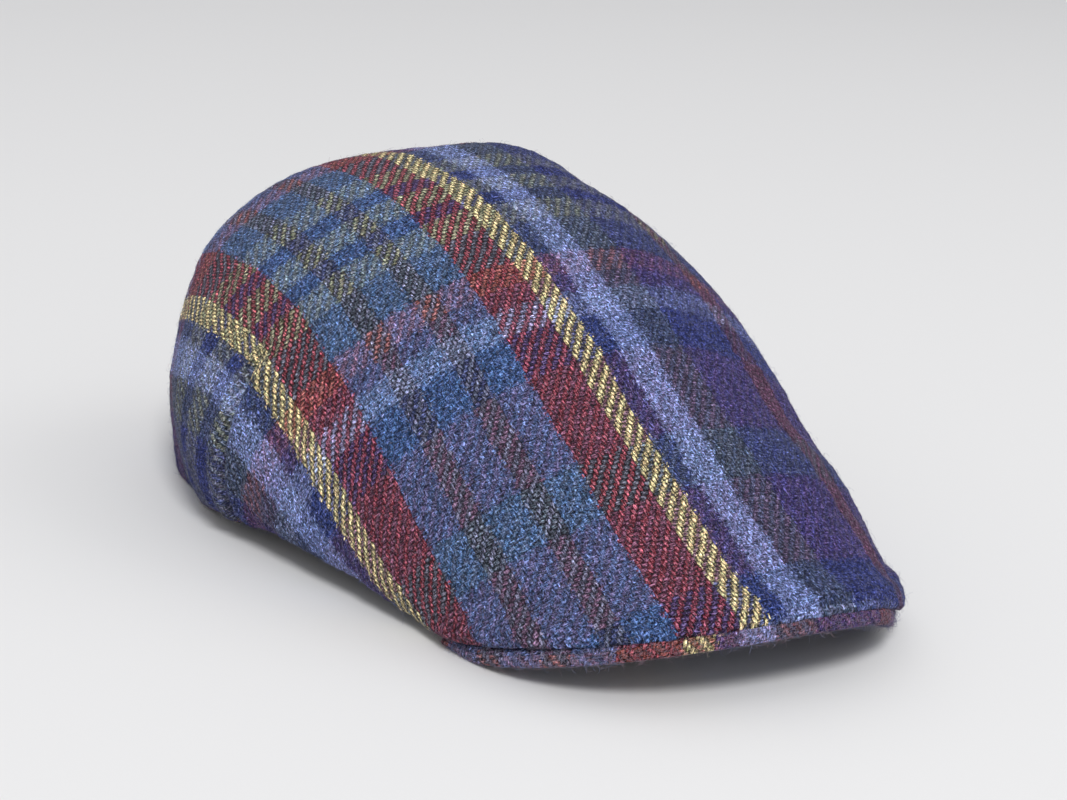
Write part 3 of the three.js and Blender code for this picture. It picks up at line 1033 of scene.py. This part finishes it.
def tweed_material():
    """The plaid twill, from the cloth's ends and picks down to the fibres of its wool."""
    material = bpy.data.materials.new("tweed_twill")
    material.use_nodes = True
    tree = material.node_tree
    tree.nodes.clear()
    cloth = tree.nodes.new("ShaderNodeUVMap")
    cloth.uv_map = "Cloth"
    split = tree.nodes.new("ShaderNodeSeparateXYZ")
    tree.links.new(cloth.outputs[0], split.inputs[0])
    u, v = (Field(tree, split.outputs[axis]) * (1 / MM) for axis in (0, 1))
    noise = {name: (u * across).noise(v * along, *look)
             for name, (across, along, *look) in NOISES.items()}

    end = (u + noise["end_drift"].centred() * END_DRIFT
           + noise["end_jitter"].centred() * END_JITTER) / END_PITCH
    pick = (v + noise["pick_drift"].centred() * PICK_DRIFT
            + noise["pick_jitter"].centred() * PICK_JITTER) / PICK_PITCH
    warp = yarn_set(end, pick, WARP_SHIFT)
    weft = yarn_set(pick, end, WEFT_SHIFT)

    # The plaid. A soft yarn's band has ragged edges, where the nap carries its colour over.
    warp_place = ((warp.number + 0.5) * END_PITCH).ping_pong(WARP_HALF)
    weft_place = ((weft.number + 0.5) * PICK_PITCH - WEFT_PIVOT).ping_pong(WEFT_HALF)
    _, firm = sett(tree, warp_place, WARP_HALF, WARP)
    blur = noise["nap"].centred() * NAP_REACH * (1 - firm)
    warp_colour, warp_crisp = sett(tree, warp_place + blur, WARP_HALF, WARP)
    weft_colour, weft_crisp = sett(tree, weft_place + blur, WEFT_HALF, WEFT)
    thick = warp_crisp.between(*THICK_CRISP)
    crisp = (warp_crisp * weft_crisp).most(thick * THICK_SHOWS)

    # How much of the warp shows here, from 0 to 1, and how high the cloth is.
    fray = noise["fray"].centred()
    lead = warp.top - weft.top + fray * FRAY + thick * THICK_LEAD + WARP_LEAD
    over = lead.between(-FLOAT_EDGE, FLOAT_EDGE)
    mingle = fray * MINGLE_FRAY + warp_place.between(*PLAIN_SIDE) * PLAIN_LEAD + MINGLE
    over = (mingle + (over - mingle) * crisp).most(0).least(1)
    height = (warp.top.most(weft.top) - NAP_HEIGHT) * crisp + NAP_HEIGHT

    # The yarns' painted light: highlights on the fibres, shade between the strands and a shade for
    # each float.
    warp_strands = end * (WARP_STRANDS * 2 * math.pi) + pick * STRAND_LEAN
    weft_strands = pick * (WEFT_STRANDS * 2 * math.pi) + end * STRAND_LEAN
    contrast = WOOL_CONTRAST - thick * THICK_EVENNESS
    warp_light = yarn_light(noise["warp_fibre"], warp_strands, warp, WARP_DICE, contrast)
    weft_light = yarn_light(noise["weft_fibre"], weft_strands, weft, WEFT_DICE, WOOL_CONTRAST)
    # Painted shade on the low-lying weft where the weave is crisp.
    weft_light = weft_light * (1 - crisp * LOW_WEFT_SHADE)
    woven_light = weft_light + (warp_light - weft_light) * over
    light = warp_light.most(weft_light) * NAP_LIGHT * (1 - crisp) + woven_light * crisp
    # Painted shade in the low places between the floats and in the pits of the nap.
    gap = height.between(*GAP_SHADE_HEIGHTS) * GAP_SHADE_LIGHT + GAP_SHADE_LEAST
    pit = noise["pit"].between(*PIT_SHADE_DEPTHS) * PIT_SHADE_LIGHT + PIT_SHADE_LEAST
    cloud = noise["cloud"].centred() * (1 - crisp) * CLOUD + 1
    shade = (light * (gap * pit) * cloud) ** SHADE_POWER

    dye = mix(tree, over, weft_colour, warp_colour)
    colour = wool_colour(tree, noise, dye, shade)
    wool_shader(tree, colour, height + noise["pit"] * RELIEF_PIT + light * RELIEF_LIGHT)
    return material


def plain_material(name, colour, roughness):
    material = bpy.data.materials.new(name)
    material.use_nodes = True
    shader = material.node_tree.nodes["Principled BSDF"]
    set_inputs(shader, {"Base Color": colour, "Roughness": roughness})
    return material


def fibre_material(yarn):
    """A loose fibre catches the light, so it is paler than its yarn."""
    colour = np.array(linear(*YARNS[yarn][:3]))
    pale = np.array(linear(*FIBRE_HIGHLIGHT_COLOUR))
    colour = colour + (pale - colour) * FIBRE_HIGHLIGHT
    return plain_material("fibre_" + yarn, colour.tolist(), FIBRE_ROUGH)


# ---- stage, lights and camera ----

def build_floor():
    mesh = bpy.data.meshes.new("floor")
    turns = np.linspace(0, 2 * math.pi, FLOOR_SIDES, endpoint=False)
    ring = [(FLOOR_RADIUS * math.cos(a), FLOOR_RADIUS * math.sin(a), 0) for a in turns]
    mesh.from_pydata(ring, [], [list(range(len(ring)))])
    mesh.materials.append(plain_material("pale_floor", linear(*FLOOR_COLOUR), FLOOR_ROUGH))
    new_object("floor", mesh)


def build_sky():
    world = bpy.data.worlds.new("studio")
    world.use_nodes = True
    sky = {"Color": linear(*SKY_COLOUR), "Strength": SKY_LIGHT}
    set_inputs(world.node_tree.nodes["Background"], sky)
    bpy.context.scene.world = world
    bpy.context.scene.view_settings.view_transform = "Standard"


def direction(azimuth, elevation):
    """From the cap towards a camera or light: azimuth 0 is in front, 90 at its left side."""
    a, e = math.radians(azimuth), math.radians(elevation)
    return Vector((math.sin(a) * math.cos(e), -math.cos(a) * math.cos(e), math.sin(e)))


def add_light(name, azimuth, elevation, distance, size, power):
    data = bpy.data.lights.new(name, "AREA")
    data.shape = "DISK"
    data.size = size
    data.energy = power
    light = new_object(name, data)
    towards = direction(azimuth, elevation)
    light.location = towards * distance + Vector(LIGHT_AIM)
    light.rotation_euler = towards.to_track_quat("Z", "Y").to_euler()
    light.visible_camera = False


def add_camera():
    data = bpy.data.cameras.new("camera")
    data.lens = FOCAL
    data.sensor_width = SENSOR
    data.clip_start, data.clip_end = CLIP
    camera = new_object("camera", data)
    back = direction(AZIMUTH, ELEVATION)
    right = Vector((0, 0, 1)).cross(back).normalized()
    up = back.cross(right)
    place = (Vector(AIM) + right * AIM_RIGHT + back * DISTANCE) * MM
    roll = math.radians(ROLL)
    leant_right = right * math.cos(roll) + up * math.sin(roll)
    leant_up = up * math.cos(roll) - right * math.sin(roll)
    axes = Matrix((leant_right, leant_up, back)).transposed()
    camera.matrix_world = Matrix.Translation(place) @ axes.to_4x4()
    bpy.context.scene.camera = camera


# ---- the scene ----

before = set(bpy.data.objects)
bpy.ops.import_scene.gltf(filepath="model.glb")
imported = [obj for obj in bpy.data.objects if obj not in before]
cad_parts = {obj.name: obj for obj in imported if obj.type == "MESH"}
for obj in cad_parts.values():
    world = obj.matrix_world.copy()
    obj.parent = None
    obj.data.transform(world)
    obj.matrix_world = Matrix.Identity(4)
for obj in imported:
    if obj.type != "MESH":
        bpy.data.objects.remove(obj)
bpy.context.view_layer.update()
build_floor()
build_sky()
for light in LIGHTS:
    add_light(*light)
add_camera()

grid = Grid()
tweed = tweed_material()
crown, crown_skin, crown_place = build_crown(grid, tweed)
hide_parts("crown")
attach(crown, BODY)

peak, peak_skin, peak_place = build_peak(grid, laid_plaid(grid)[0, :, 0], tweed)
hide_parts("peak")
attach(peak, BODY)

fibre_materials = [fibre_material(yarn) for yarn in YARNS]
skins = {"crown": (crown_skin, crown_place), "peak": (peak_skin, peak_place)}
for part, (skin, place) in skins.items():
    for kind, look in FIBRES.items():
        draws = np.random.default_rng(SEED + look[part])
        loose = build_fibres(f"{part}_{kind}", skin, place, look[part], look, fibre_materials, draws)
        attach(loose, BODY)
